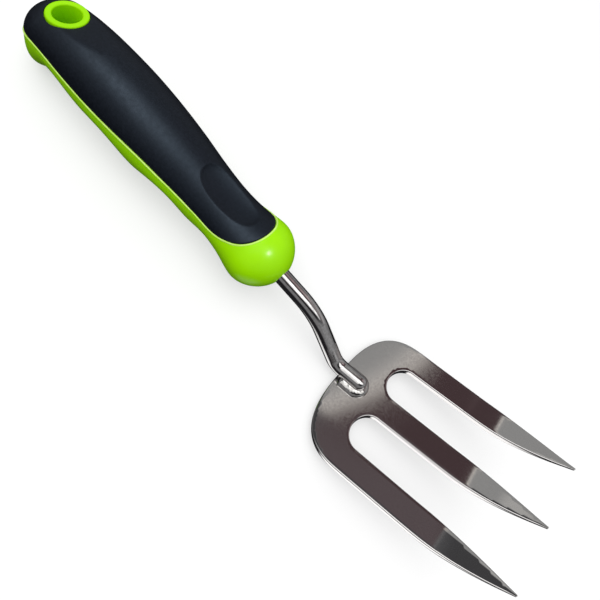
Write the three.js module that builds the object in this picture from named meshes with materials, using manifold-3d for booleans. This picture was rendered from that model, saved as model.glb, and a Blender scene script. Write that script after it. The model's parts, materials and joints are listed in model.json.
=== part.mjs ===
// Three-tine hand fork: a stamped steel head welded to a cranked steel shank, and a moulded handle with a
// hard core and a soft grip over it. Millimetres, +Z up, +X from the butt of the handle to the tines.
// The tool is modelled about the handle's axis, with x = 0 where the shank leaves the nose of the handle, and
// is then laid down on its butt and heel, with the origin under the middle of its box.

import * as THREE from 'three';
import { mergeVertices } from 'three/addons/utils/BufferGeometryUtils.js';
import Module from 'manifold-3d';

const wasm = await Module();
wasm.setup();

// ---------------------------------------------------------------- driving dimensions

const GAP = 0.3; // clearance left between pieces that touch
const REACH = 60; // longer than any piece that a cutting solid passes through

// handle
const HANDLE_LENGTH = 154.5;
const NOSE_CAP = 17; // length of the rounded nose
const BUTT_CAP = 13; // length of the rounded butt
const GRIP_THICKNESS = 3;
const HANDLE_RINGS = 38;
const HANDLE_SIDES = 28;

// handle outline: [distance behind the nose, size], sizes measured from the handle's middle line
const MIDDLE = [[0, 0], [105, 0], [131, -0.7], [145, -3], [154.5, -4.4]];
const CREST = [[0, 15.3], [17, 15.2], [28, 13.3], [40, 13.1], [52, 14.2], [68, 16.3], [85, 17.7], [100, 18.3],
  [117, 17.2], [131, 15.6], [145, 13.7], [154.5, 11.8]];
const KEEL = [[0, 17], [17, 17.5], [26, 16.1], [36, 14.1], [47, 15.1], [62, 14], [78, 17.1], [98, 15.5],
  [115, 16.4], [127, 15.1], [140, 17], [154.5, 16]];
const FLANK = [[0, 16.5], [17, 16.7], [28, 14.5], [38, 13.7], [52, 14.3], [68, 15.9], [85, 17], [103, 17.1],
  [120, 16.4], [135, 15.2], [154.5, 13.6]];

// edge between the soft grip above and the hard core below, seen from the side:
// [distance behind the nose, height]
const GRIP_EDGE = [[160, -10], [148, -2.4], [134, 1], [107, 2.6], [76, 4.5], [46, 3.2], [34, 3.4],
  [24.6, 7.8], [16.8, 15], [14.4, 20]];

// finger grooves: how deep the underside is drawn in, and where it is negative, how far the stop at the butt
// stands out
const GROOVE = [[0, 0], [18, 0.6], [34, 1.1], [48, 0], [65, 2.5], [80, 0.5], [95, 1.9], [112, 0.7],
  [134, 1.4], [146, -3.4], [154.5, -2.8]];

// thumb recess: an oval scoop in the top of the grip
const THUMB_X = -39;
const THUMB_SIZE = [15.7, 11, 5];
const THUMB_RISE = 2; // height of the scoop's centre above the crest
const THUMB_FLOOR = 2.2; // grip left under the scoop

// hang hole through the butt, and the core's sleeve around it
const HANG_X = -136.3;
const HANG_RADIUS = 5.7;
const SLEEVE_RADIUS = 8.4;
const SLEEVE_TOP = 12.3; // height of the sleeve's end face over the hole's middle
const SLEEVE_SLOPE = 0.24; // rise of that face towards the nose
const SLEEVE_PROUD = 0.5; // how far it stands above the flat in the grip round it

// shank
const ROD_RADIUS = 3.85;
const TANG_LENGTH = 72;
const TANG_RELIEF = 0.1; // how much thinner the hidden tang is than the rod
const CRANK_REAR = -4; // where the tang begins, just inside the nose
const CRANK_X = 21; // first corner of the crank, on the handle's axis
const CRANK_RUN = 10; // length of the first bend on each side of its corner
const FOOT_RUN = 4.3; // the same for the second bend
const FOOT_SETBACK = 3.5; // distance of the second bend's corner behind the heel
const FOOT_LENGTH = 10.4; // length that lies on the head, in front of the heel
const WING = { x: -58, length: 16, width: 11.5, thickness: 3 };

// head: a plate whose own x runs forward from its rear edge, the heel
const HEEL = new THREE.Vector2(53, -21.8); // rear edge of the top face, in the handle's frame
const HEAD_PITCH = THREE.MathUtils.degToRad(22.3);
const PLATE_THICKNESS = 3.4;
const TIP_THICKNESS = 1.2;
const THINNING_START = 78;
const TINE_PITCH = 31;
const TINE_ROOT_WIDTH = 12.9;
const TINE_SHOULDER_WIDTH = 12.3;
const TIP_WIDTH = 0.8;
const HEEL_LENGTH = 27.1; // length of the rounded rear
const HEEL_SQUARENESS = 2.8; // 2 is an ellipse
const SLOT_START = 27.5; // where the slots' sides become straight
const SLOT_END_DEPTH = 7.8;
const SHOULDER_START = 64.2; // where the tines begin to taper
const TAPER_POWER = 1.75;
const HEAD_LENGTH = 107.1;
const LIFT_START = 58.5; // where the tines begin to curve up
const LIFT_RADIUS = 160;
const HEEL_RISE = 1.4; // how far the rear edge is curved up
const HEEL_RISE_LENGTH = 37.8;

// weld bead
const WELD_HALF_WIDTH = 6.6;
const WELD_HEIGHT = 3.6;
const WELD_REAR = 1.2; // distance in front of the heel
const WELD_FRONT = 2.2; // reach in front of the shank's end

// ---------------------------------------------------------------- materials

function surface(color, roughness, metalness) {
  return new THREE.MeshStandardMaterial({ color, roughness, metalness });
}

const polishedSteel = surface(0xb9b7b4, 0.18, 1);
const rodSteel = surface(0xa5a4a4, 0.25, 1);
const weldSteel = surface(0x9a9896, 0.38, 1);
const limePlastic = surface(0x93dc00, 0.3, 0);
const softRubber = surface(0x20242c, 0.6, 0);

// ---------------------------------------------------------------- solids

function solid(geometry) {
  const bare = geometry.clone();
  bare.deleteAttribute('normal');
  bare.deleteAttribute('uv');
  const merged = mergeVertices(bare, 1e-4);
  const vertProperties = new Float32Array(merged.attributes.position.array);
  const triVerts = new Uint32Array(merged.index.array);
  return new wasm.Manifold(new wasm.Mesh({ numProp: 3, vertProperties, triVerts }));
}

function part(name, body, material) {
  const { vertProperties, triVerts } = body.getMesh();
  const geometry = new THREE.BufferGeometry();
  geometry.setAttribute('position', new THREE.BufferAttribute(vertProperties, 3));
  geometry.setIndex(new THREE.BufferAttribute(triVerts, 1));
  geometry.computeVertexNormals();
  const mesh = new THREE.Mesh(geometry, material);
  mesh.name = name;
  return mesh;
}

function moveVertices(geometry, place) {
  const position = geometry.attributes.position;
  const point = new THREE.Vector3();
  for (let i = 0; i < position.count; i += 1) {
    point.fromBufferAttribute(position, i);
    place(point);
    position.setXYZ(i, point.x, point.y, point.z);
  }
  return geometry;
}

function smoothLine(points) {
  const places = points.map(([place]) => place);
  const sizes = points.map(([, size]) => size);
  const curve = new THREE.CubicInterpolant(places, sizes, 1);
  return (place) => curve.evaluate(place)[0];
}

// ---------------------------------------------------------------- handle

const middle = smoothLine(MIDDLE);
const crest = smoothLine(CREST);
const keel = smoothLine(KEEL);
const flank = smoothLine(FLANK);
const groove = smoothLine(GROOVE);

function roundedEnd(overrun, length) {
  if (overrun <= 0) return 1;
  return Math.sqrt(Math.max(0, 1 - (overrun / length) ** 2));
}

function sleeveFace(x) {
  return SLEEVE_TOP + SLEEVE_SLOPE * (x - HANG_X);
}

// the handle's outer form, shrunk all round by `inset`: a sphere drawn out along the outline, with a flat on
// top for the sleeve
function handleForm(inset) {
  const sphere = new THREE.SphereGeometry(1, HANDLE_SIDES, HANDLE_RINGS);
  sphere.rotateZ(-Math.PI / 2);
  return moveVertices(sphere, (point) => {
    const along = (1 - point.x) / 2;
    const behind = inset + along * (HANDLE_LENGTH - 2 * inset);
    const nose = roundedEnd(NOSE_CAP - behind, NOSE_CAP - inset);
    const butt = roundedEnd(behind - HANDLE_LENGTH + BUTT_CAP, BUTT_CAP - inset);
    const angle = Math.atan2(point.z, point.y);
    const below = THREE.MathUtils.smoothstep(-Math.sin(angle), 0, 1);
    const height = point.z > 0 ? crest(behind) : keel(behind);
    const full = nose * butt * (1 - (below * groove(behind)) / height);
    point.x = -behind;
    point.y = (flank(behind) - inset) * full * Math.cos(angle);
    const round = middle(behind) + (height - inset) * full * Math.sin(angle);
    point.z = Math.min(round, sleeveFace(-behind) - SLEEVE_PROUD - inset);
  });
}

// the space above the grip's edge, grown by `reach` downwards and forwards
function gripRegion(reach) {
  const edge = new THREE.SplineCurve(GRIP_EDGE.map(([behind, height]) => new THREE.Vector2(-behind, height)));
  const outline = new THREE.Shape(edge.getPoints(40));
  outline.lineTo(-GRIP_EDGE.at(-1)[0], REACH);
  outline.lineTo(-GRIP_EDGE[0][0], REACH);
  const region = new THREE.ExtrudeGeometry(outline, { depth: REACH, bevelEnabled: false });
  region.translate(0, 0, -REACH / 2);
  region.rotateX(Math.PI / 2);
  region.translate(reach, 0, -reach);
  return solid(region);
}

function thumbScoop(lowered) {
  const scoop = new THREE.SphereGeometry(1, 32, 20);
  scoop.scale(...THUMB_SIZE);
  scoop.translate(THUMB_X, 0, crest(-THUMB_X) + THUMB_RISE - lowered);
  return solid(scoop);
}

function uprightRod(x, radius, sides) {
  const rod = new THREE.CylinderGeometry(radius, radius, 2 * REACH, sides);
  rod.rotateX(Math.PI / 2);
  rod.translate(x, 0, 0);
  return solid(rod);
}

// what the grip wraps round, shrunk by `clearance`
function gripBed(clearance) {
  return solid(handleForm(GRIP_THICKNESS + clearance)).subtract(thumbScoop(THUMB_FLOOR + clearance));
}

function softGrip() {
  return solid(handleForm(0))
    .intersect(gripRegion(0))
    .subtract(gripBed(0))
    .subtract(thumbScoop(0))
    .subtract(uprightRod(HANG_X, SLEEVE_RADIUS + GAP, 40));
}

// the ring round the hang hole, from the core's inside up to its end face
function sleeve() {
  const below = new THREE.BoxGeometry(REACH, REACH, 1);
  below.translate(HANG_X, 0, 0);
  moveVertices(below, (point) => {
    point.z = point.z > 0 ? sleeveFace(point.x) : 0;
  });
  return solid(below).intersect(uprightRod(HANG_X, SLEEVE_RADIUS, 40));
}

function handleCore() {
  return solid(handleForm(0))
    .subtract(gripRegion(GAP))
    .add(gripBed(GAP))
    .add(sleeve())
    .subtract(uprightRod(HANG_X, HANG_RADIUS, 32))
    .subtract(tang(GAP, NOSE_CAP));
}

// ---------------------------------------------------------------- shank

const headForward = new THREE.Vector2(Math.cos(HEAD_PITCH), Math.sin(HEAD_PITCH));
const headUp = new THREE.Vector2(-Math.sin(HEAD_PITCH), Math.cos(HEAD_PITCH));

function onHead(forward, up) {
  return HEEL.clone().addScaledVector(headForward, forward).addScaledVector(headUp, up);
}

function inPlane(point) {
  return new THREE.Vector3(point.x, 0, point.y);
}

// height of the head's top face above its flat middle: the rear curves up, and so do the tines
function headLift(x) {
  const rise = Math.max(0, (HEEL_RISE_LENGTH - x) / HEEL_RISE_LENGTH);
  const curl = Math.max(0, x - LIFT_START);
  return HEEL_RISE * rise ** 2 + curl ** 2 / (2 * LIFT_RADIUS);
}

const footCorner = onHead(-FOOT_SETBACK, ROD_RADIUS + GAP + headLift(-FOOT_SETBACK));
const footEnd = onHead(FOOT_LENGTH, ROD_RADIUS + GAP + headLift(FOOT_LENGTH));
const footForward = footEnd.clone().sub(footCorner).normalize();
const footStart = footCorner.clone().addScaledVector(footForward, FOOT_RUN);
const bendStart = new THREE.Vector2(CRANK_X - CRANK_RUN, 0);

// straight out of the nose, a wide first bend, a straight fall, a tight second bend and a foot on the head
function crankPath() {
  const crank = new THREE.Vector2(CRANK_X, 0);
  const fall = footCorner.clone().sub(crank).normalize();
  const fallStart = crank.clone().addScaledVector(fall, CRANK_RUN);
  const fallEnd = footCorner.clone().addScaledVector(fall, -FOOT_RUN);
  const path = new THREE.CurvePath();
  path.add(new THREE.LineCurve3(new THREE.Vector3(CRANK_REAR, 0, 0), inPlane(bendStart)));
  path.add(new THREE.QuadraticBezierCurve3(inPlane(bendStart), inPlane(crank), inPlane(fallStart)));
  path.add(new THREE.LineCurve3(inPlane(fallStart), inPlane(fallEnd)));
  path.add(new THREE.QuadraticBezierCurve3(inPlane(fallEnd), inPlane(footCorner), inPlane(footStart)));
  path.add(new THREE.LineCurve3(inPlane(footStart), inPlane(footEnd)));
  return path;
}

function crankedBar(radius) {
  const section = new THREE.Shape();
  section.absarc(0, 0, radius, 0, 2 * Math.PI);
  return solid(new THREE.ExtrudeGeometry(section, {
    extrudePath: crankPath(),
    steps: 44,
    curveSegments: 10,
    bevelEnabled: false,
  }));
}

function roundedFoot(radius) {
  const nose = new THREE.SphereGeometry(radius, 20, 14);
  nose.translate(footEnd.x, 0, footEnd.y);
  return solid(nose);
}

// the flat that is pinched out of the rod to lock it in the handle, grown by `growth`
function wings(growth) {
  const half = WING.length / 2 + growth;
  const reach = WING.width / 2 + growth;
  const outline = new THREE.Shape();
  outline.moveTo(-half, 0);
  outline.lineTo(-half / 3, -reach);
  outline.lineTo(half / 3, -reach);
  outline.lineTo(half, 0);
  outline.lineTo(half / 3, reach);
  outline.lineTo(-half / 3, reach);
  const depth = WING.thickness + 2 * growth;
  const plate = new THREE.ExtrudeGeometry(outline, { depth, bevelEnabled: false });
  plate.translate(WING.x, 0, -depth / 2);
  return solid(plate);
}

// the straight rear of the shank, up to x = `front` and grown by `growth`
function tang(growth, front) {
  const length = TANG_LENGTH + growth + front;
  const rod = new THREE.CylinderGeometry(ROD_RADIUS + growth, ROD_RADIUS + growth, length, 20);
  rod.rotateZ(Math.PI / 2);
  rod.translate(front - length / 2, 0, 0);
  return solid(rod).add(wings(growth));
}

function shank() {
  return crankedBar(ROD_RADIUS).add(roundedFoot(ROD_RADIUS)).add(tang(-TANG_RELIEF, CRANK_REAR + 1));
}

// ---------------------------------------------------------------- head

const headPlace = new THREE.Matrix4()
  .makeRotationY(-HEAD_PITCH)
  .setPosition(HEEL.x, 0, HEEL.y);

const halfSpan = TINE_PITCH + TINE_ROOT_WIDTH / 2;

function tineHalfWidth(x) {
  const down = THREE.MathUtils.clamp((x - SLOT_START) / (SHOULDER_START - SLOT_START), 0, 1);
  const straight = THREE.MathUtils.lerp(TINE_ROOT_WIDTH, TINE_SHOULDER_WIDTH, down) / 2;
  const taper = THREE.MathUtils.clamp((x - SHOULDER_START) / (HEAD_LENGTH - SHOULDER_START), 0, 1);
  return straight * (1 - taper ** TAPER_POWER) + (TIP_WIDTH / 2) * taper;
}

// one side of a tine, from its root to its tip
function tineSide(centre, side) {
  const points = [new THREE.Vector2(SLOT_START, centre + side * tineHalfWidth(SLOT_START))];
  const steps = 14;
  for (let i = 0; i <= steps; i += 1) {
    const x = THREE.MathUtils.lerp(SHOULDER_START, HEAD_LENGTH, i / steps);
    points.push(new THREE.Vector2(x, centre + side * tineHalfWidth(x)));
  }
  return points;
}

function slotEnd(centre) {
  const halfWidth = (TINE_PITCH - TINE_ROOT_WIDTH) / 2;
  const points = [];
  const steps = 16;
  for (let i = 1; i < steps; i += 1) {
    const angle = (Math.PI * i) / steps;
    const x = SLOT_START - SLOT_END_DEPTH * Math.sin(angle);
    points.push(new THREE.Vector2(x, centre - halfWidth * Math.cos(angle)));
  }
  return points;
}

// half of the rounded heel, from the middle of the rear edge to one flank
function heelSide(side) {
  const points = [];
  const steps = 18;
  for (let i = 0; i <= steps; i += 1) {
    const angle = (Math.PI / 2) * (i / steps);
    const x = HEEL_LENGTH * (1 - Math.cos(angle) ** (2 / HEEL_SQUARENESS));
    points.push(new THREE.Vector2(x, side * halfSpan * Math.sin(angle) ** (2 / HEEL_SQUARENESS)));
  }
  return points;
}

function headOutline() {
  const points = heelSide(-1);
  for (const centre of [-TINE_PITCH, 0, TINE_PITCH]) {
    points.push(...tineSide(centre, -1), ...tineSide(centre, 1).reverse());
    if (centre < TINE_PITCH) points.push(...slotEnd(centre + TINE_PITCH / 2));
  }
  points.push(...heelSide(1).reverse().slice(0, -1));
  return new THREE.Shape(points);
}

function headThickness(x) {
  const thinned = THREE.MathUtils.clamp((x - THINNING_START) / (HEAD_LENGTH - THINNING_START), 0, 1);
  return THREE.MathUtils.lerp(PLATE_THICKNESS, TIP_THICKNESS, thinned);
}

// the curved sheet that the head is cut from, and then the head itself
function forkHead() {
  const margin = 1;
  const length = HEAD_LENGTH + 2 * margin;
  const width = 2 * (halfSpan + margin);
  const sheet = new THREE.BoxGeometry(length, width, 1, 40, 1, 1);
  sheet.translate(length / 2 - margin, 0, 0);
  moveVertices(sheet, (point) => {
    const under = point.z < 0 ? headThickness(point.x) : 0;
    point.z = headLift(point.x) - under;
  });
  const blank = new THREE.ExtrudeGeometry(headOutline(), { depth: REACH, bevelEnabled: false });
  blank.translate(0, 0, -REACH / 2);
  sheet.applyMatrix4(headPlace);
  blank.applyMatrix4(headPlace);
  return solid(sheet).intersect(solid(blank));
}

// ---------------------------------------------------------------- weld

// the foot's own frame: x = 0 over the heel, z = 0 on the head under the foot
const footPlace = new THREE.Matrix4()
  .makeRotationY(-Math.atan2(footForward.y, footForward.x))
  .setPosition(inPlane(footCorner))
  .multiply(new THREE.Matrix4().makeTranslation(FOOT_SETBACK, 0, -ROD_RADIUS - GAP));

// a low mound round the foot of the shank, cut off flat on the plate and near the heel
function weldBead() {
  const roundCentre = FOOT_LENGTH + ROD_RADIUS + WELD_FRONT - WELD_HALF_WIDTH;
  const mound = new THREE.CapsuleGeometry(WELD_HALF_WIDTH, REACH, 10, 28);
  mound.rotateZ(Math.PI / 2);
  mound.scale(1, 1, WELD_HEIGHT / WELD_HALF_WIDTH);
  mound.translate(roundCentre - REACH / 2, 0, GAP);
  const bed = new THREE.BoxGeometry(REACH, REACH, REACH);
  bed.translate(WELD_REAR + REACH / 2, 0, GAP + REACH / 2);
  mound.applyMatrix4(footPlace);
  bed.applyMatrix4(footPlace);
  return solid(mound)
    .intersect(solid(bed))
    .subtract(crankedBar(ROD_RADIUS + GAP))
    .subtract(roundedFoot(ROD_RADIUS + GAP));
}

// ---------------------------------------------------------------- assembly

const tool = new THREE.Group();
tool.add(part('fork_head', forkHead(), polishedSteel));
tool.add(part('shank', shank(), rodSteel));
tool.add(part('weld_bead', weldBead(), weldSteel));
tool.add(part('handle_core', handleCore(), limePlastic));
tool.add(part('soft_grip', softGrip(), softRubber));

// lay the tool down: it touches the ground under the butt and at the heel's lower edge
function lowestNear(fromX, toX) {
  const lowest = new THREE.Vector3(0, 0, Infinity);
  const point = new THREE.Vector3();
  tool.traverse((mesh) => {
    const position = mesh.geometry?.attributes.position;
    for (let i = 0; i < (position?.count ?? 0); i += 1) {
      point.fromBufferAttribute(position, i).applyMatrix4(tool.matrix);
      if (point.x > fromX && point.x < toX && point.z < lowest.z) lowest.copy(point);
    }
  });
  return lowest;
}

for (let pass = 0; pass < 4; pass += 1) {
  const butt = lowestNear(-HANDLE_LENGTH, -HANDLE_LENGTH / 2);
  const heel = lowestNear(CRANK_X, HEEL.x + HEAD_LENGTH);
  tool.rotation.y -= Math.atan2(butt.z - heel.z, heel.x - butt.x);
  tool.updateMatrix();
}

const box = new THREE.Box3().setFromObject(tool, true);
tool.position.set(-(box.min.x + box.max.x) / 2, 0, -box.min.z);

const handFork = new THREE.Group();
handFork.add(tool);

export default handFork;
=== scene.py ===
# Looks of the three-tine hand fork. Sizes are in millimetres in the tool's own frame, where x = 0 is the
# point where the shank leaves the handle's nose, +x runs to the tines and +z is the thumb side. The last
# step of each piece turns it into metres in the row's frame.
import json
import math

import bmesh
import bpy
import numpy as np
from mathutils import Matrix, Vector, geometry, noise


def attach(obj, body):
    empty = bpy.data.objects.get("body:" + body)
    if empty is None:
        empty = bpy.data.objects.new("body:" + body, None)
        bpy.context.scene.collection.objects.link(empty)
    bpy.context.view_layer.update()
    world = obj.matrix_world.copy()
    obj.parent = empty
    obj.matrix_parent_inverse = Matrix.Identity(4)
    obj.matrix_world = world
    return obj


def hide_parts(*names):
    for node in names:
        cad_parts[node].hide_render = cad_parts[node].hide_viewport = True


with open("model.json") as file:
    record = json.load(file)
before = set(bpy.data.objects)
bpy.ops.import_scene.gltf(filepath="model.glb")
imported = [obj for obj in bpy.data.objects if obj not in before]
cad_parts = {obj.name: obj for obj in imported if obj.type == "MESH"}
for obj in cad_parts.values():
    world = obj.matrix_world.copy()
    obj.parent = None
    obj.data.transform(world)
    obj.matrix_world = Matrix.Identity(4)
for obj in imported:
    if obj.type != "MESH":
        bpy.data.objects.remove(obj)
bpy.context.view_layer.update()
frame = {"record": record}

MM = 0.001

# ---------------------------------------------------------------- sizes, as in the CAD part

HANDLE_LENGTH = 154.5
NOSE_CAP = 17
BUTT_CAP = 13
MIDDLE = [[0, 0], [105, 0], [131, -0.7], [145, -3], [154.5, -4.4]]
CREST = [[0, 15.3], [17, 15.2], [28, 13.3], [40, 13.1], [52, 14.2], [68, 16.3], [85, 17.7], [100, 18.3],
         [117, 17.2], [131, 15.6], [145, 13.7], [154.5, 11.8]]
KEEL = [[0, 17], [17, 17.5], [26, 16.1], [36, 14.1], [47, 15.1], [62, 14], [78, 17.1], [98, 15.5],
        [115, 16.4], [127, 15.1], [140, 17], [154.5, 16]]
FLANK = [[0, 16.5], [17, 16.7], [28, 14.5], [38, 13.7], [52, 14.3], [68, 15.9], [85, 17], [103, 17.1],
         [120, 16.4], [135, 15.2], [154.5, 13.6]]
GROOVE = [[0, 0], [18, 0.6], [34, 1.1], [48, 0], [65, 2.5], [80, 0.5], [95, 1.9], [112, 0.7],
          [134, 1.4], [146, -3.4], [154.5, -2.8]]
GRIP_EDGE = [[160, -10], [148, -2.4], [134, 1], [107, 2.6], [76, 4.5], [46, 3.2], [34, 3.4],
             [24.6, 7.8], [16.8, 15], [14.4, 20]]

THUMB_X = -39
THUMB_SIZE = (15.7, 11, 5)
THUMB_RISE = 2

HANG_X = -136.3
HANG_RADIUS = 5.7
SLEEVE_RADIUS = 8.4
SLEEVE_TOP = 12.3
SLEEVE_SLOPE = 0.24
SLEEVE_PROUD = 0.5

ROD_RADIUS = 3.85
TANG_LENGTH = 72
CRANK_X = 21
CRANK_RUN = 10
FOOT_RUN = 4.3
FOOT_SETBACK = 3.5
FOOT_LENGTH = 10.4
GAP = 0.3

HEEL = Vector((53, 0, -21.8))
HEAD_PITCH = math.radians(22.3)
PLATE_THICKNESS = 3.4
TIP_THICKNESS = 1.2
THINNING_START = 78
TINE_PITCH = 31
TINE_ROOT_WIDTH = 12.9
TINE_SHOULDER_WIDTH = 12.3
TIP_WIDTH = 0.8
HEEL_LENGTH = 27.1
HEEL_SQUARENESS = 2.8
SLOT_START = 27.5
SLOT_END_DEPTH = 7.8
SHOULDER_START = 64.2
TAPER_POWER = 1.75
HEAD_LENGTH = 107.1
LIFT_START = 58.5
LIFT_RADIUS = 160
HEEL_RISE = 1.4
HEEL_RISE_LENGTH = 37.8

WELD_HALF_WIDTH = 6.6
WELD_HEIGHT = 3.6
WELD_REAR = 1.2
WELD_FRONT = 2.2

# ---------------------------------------------------------------- sizes that only the looks have

GRIP_DEPTH = 2.2  # how far the grip's edge wall goes down
GRIP_ROUNDING = 0.8  # radius of the grip's edge
GRIP_SETBACK = 0.45  # distance of the grip's edge from the middle of the bead
CORE_SINK = 1.6  # how far the core lies under the grip
BEAD_RADIUS = 0.42
BEAD_SINK = 0.18
THUMB_SOFTNESS = 0.5  # rounding of the thumb recess's rim
SLEEVE_WALL = 4.5  # how far the sleeve's outer wall goes down, under the grip
SLEEVE_BORE = 8  # depth of the bore's top part, which belongs to the sleeve
SLEEVE_BORE_WALL = 0.6
LIP_ROUNDING = 0.8  # radius of the edges of the hang hole's sleeve
SEAT_SOFTNESS = 0.7  # rounding where the flat under the sleeve's face meets the grip's curve
EDGE_ROUNDING = 0.5  # radius of the head's edges
EDGE_SHARE = 0.4  # the rounding's largest share of a tine's half width and of the plate's thickness
SEAM_DROP = (0.1, 0.9)  # heights above the seam between which the core sinks under the grip
CUTTER_REACH = 40  # how far a cutter goes past the handle's skin
# the underside of the hang hole and the mouth of the tang's hole, as [how much wider than the hole, height]
HOLE_MOUTH = [[3, -CUTTER_REACH], [3, -22.5], [1, -20.4], [0.3, -19], [0.03, -17.6], [0.03, -12],
              [0.03, CUTTER_REACH]]
TANG_MOUTH = [[0.12, -9], [0.12, -1.3], [0.3, -0.8], [0.9, 0.2], [0.9, 3]]
WELD_TAIL = 2.5  # length of the weld's rounded rear end
WELD_SKIRT = 0.05  # how far the weld's wall goes down into the head's face
WELD_LIFT = 0.02
WELD_RIPPLE = 0.03
WELD_RIPPLE_LENGTH = 3.1
WELD_RIPPLE_SWIRL = 1.2
WELD_LUMPS = 0.12
WELD_LUMP_SCALE = 0.45
WELD_LUMP_SLICE = 1.7  # the height at which the noise is read

# ---------------------------------------------------------------- how finely the pieces are divided

SEAM_SPACING = 0.45
HALVINGS = 40  # rounds of halving in the search for the seam's angle
GRIP_UNDER_ROWS = 8
GRIP_EDGE_ROWS = 6
GRIP_SKIN_ROWS = 54
BEAD_SIDES = 12
CORE_RINGS = 420
CORE_SIDES = 200
SLEEVE_SIDES = 144
LIP_ROWS = 8
HOLE_SIDES = 128
TANG_HOLE_SIDES = 96
ROD_SPACING = 0.4
ROD_SIDES = 64
ROD_END_ROWS = 16
HEAD_SPACING = 0.4
HEAD_GRID = 1.0
HEAD_EDGE_ROWS = 5
WELD_SPACING = 0.22
WELD_ROWS = 30
SHARP_EDGE = 40  # degrees; edges that bend more than this are shaded sharp

# ---------------------------------------------------------------- camera and studio

CAMERA_PLACE = (0.00191, -0.10304, 0.20690)
CAMERA_RIGHT = (0.66336, 0.63361, 0.39811)
CAMERA_UP = (-0.74573, 0.60381, 0.28161)
LENS_LENGTH = 28.68
SENSOR_WIDTH = 36

FLOOR_HALF = 3.0
FLOOR_SHADE = 0.46
FLOOR_ROUGHNESS = 0.9
FLOOR_GLOW = 0.5

ROOM_COLOUR = (0.02, 0.02, 0.022)
BACKDROP_COLOUR = (0.93, 0.93, 0.93, 1)
# the brown and the grey side of the sky meet in a light line; an edge is (where it starts, where it is full)
ACROSS_LINE = (1, -0.27, 0)
LINE_BEND = 0.016
BEND_PLACE = (-0.35, -0.25)
BROWN_EDGE = (-0.4475, -0.4435)
GREY_EDGE = (-0.449, -0.4535)
LINE_REAR_EDGE = (-0.4545, -0.4500)
LINE_FRONT_EDGE = (-0.4435, -0.4475)
ABOVE_EDGE = (0.45, 0.6)
NORTH_EDGE = (0.18, 0.3)
LIT_EDGE = (0.345, 0.375)
BROWN = (0.062, 0.034, 0.036)
GREY = (0.295, 0.30, 0.295)
FAINT_GREY = (0.05, 0.05, 0.052)
WARM_LINE = (0.54, 0.51, 0.47)
FAINT_LINE = (0.12, 0.12, 0.12)
WALL_FOOT = (-0.15, 0.1)
WALL_TOP = (0.66, 0.45)
WALL_COLOUR = (0.24, 0.24, 0.245)
DOME_EDGE = (-0.05, 0.25)
DOME_TOP = (0.70, 0.70, 0.70)
DOME_BASE = (0.1, 0.1, 0.1)

# soft lights in the sky: direction, degrees of full light, degrees where it ends, colour
SKY_LIGHTS = [
    # faint ones that the head's left side and the middle tine's tip mirror
    [(-0.28, 0.29, 0.915), 3, 8, (0.05, 0.052, 0.055)],
    [(-0.46, 0.425, 0.78), 1, 3.4, (0.16, 0.155, 0.145)],
    # a wide one behind on the left
    [(0.45, 0.62, 0.64), 14, 30, (0.25, 0.25, 0.25)],
    # a long one overhead
    [(-0.33, -0.10, 0.94), 8, 18, (1.2, 1.2, 1.2)],
    [(-0.10, -0.25, 0.96), 10, 26, (1.2, 1.2, 1.2)],
    [(0.20, -0.20, 0.96), 10, 22, (1.0, 1.0, 1.0)],
    [(0.42, -0.05, 0.90), 8, 18, (1.0, 1.0, 1.0)],
    [(0.62, 0.03, 0.78), 5, 12, (0.9, 0.9, 0.9)],
    # light on the right for the foot, a pink-grey one to the left and a dim one in front for the shank
    [(-0.29, -0.62, 0.73), 9, 18, (1.1, 1.1, 1.1)],
    [(0.06, 0.55, 0.83), 6, 17, (0.30, 0.24, 0.24)],
    [(0.92, 0.0, 0.4), 18, 34, (0.085, 0.088, 0.09)],
    # a light card low on the right, for the head's edges
    [(0.42, -0.42, -0.80), 12, 22, (1.5, 1.5, 1.5)],
]

# ---------------------------------------------------------------- the tool's frame in the row's frame


def tool_to_row():
    """The tool's own frame, from the hang hole's mount, which says where the hole and the upright lie."""
    mount = next(m for m in frame["record"]["mounts"] if m["name"] == "hang_hole")
    turn = Matrix.Rotation(math.atan2(mount["axis"][0], mount["axis"][2]), 4, "Y")
    place = Vector(mount["pos_m"]) - turn @ Vector((HANG_X * MM, 0, 0))
    return Matrix.Translation(place) @ turn @ Matrix.Scale(MM, 4)


TOOL_TO_ROW = tool_to_row()
HEAD_TO_TOOL = Matrix.Translation(HEEL) @ Matrix.Rotation(-HEAD_PITCH, 4, "Y")

# ---------------------------------------------------------------- mesh helpers


def smoothstep(value):
    value = np.clip(value, 0, 1)
    return value * value * (3 - 2 * value)


def smooth_line(points):
    """A smooth curve through [place, size] points, as a function of place."""
    places, sizes = np.array(points, float).T
    secants = np.diff(sizes) / np.diff(places)
    slopes = np.concatenate([secants[:1], (secants[1:] + secants[:-1]) / 2, secants[-1:]])

    def evaluate(place):
        place = np.clip(place, places[0], places[-1])
        k = np.clip(np.searchsorted(places, place, side="right") - 1, 0, len(places) - 2)
        span = places[k + 1] - places[k]
        p = (place - places[k]) / span
        start = (1 + 2 * p) * (1 - p) ** 2 * sizes[k] + p * (1 - p) ** 2 * span * slopes[k]
        end = p * p * (3 - 2 * p) * sizes[k + 1] + p * p * (p - 1) * span * slopes[k + 1]
        return start + end

    return evaluate


def resample(points, spacing, closed):
    """Points at an even spacing along a line through the given points."""
    line = np.vstack([points, points[:1]]) if closed else np.asarray(points, float)
    steps = np.linalg.norm(np.diff(line, axis=0), axis=1)
    run = np.concatenate([[0], np.cumsum(steps)])
    count = max(2, round(run[-1] / spacing))
    places = np.linspace(0, run[-1], count + 1)
    if closed:
        places = places[:-1]
    return np.stack([np.interp(places, run, line[:, k]) for k in range(line.shape[1])], axis=1)


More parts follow.
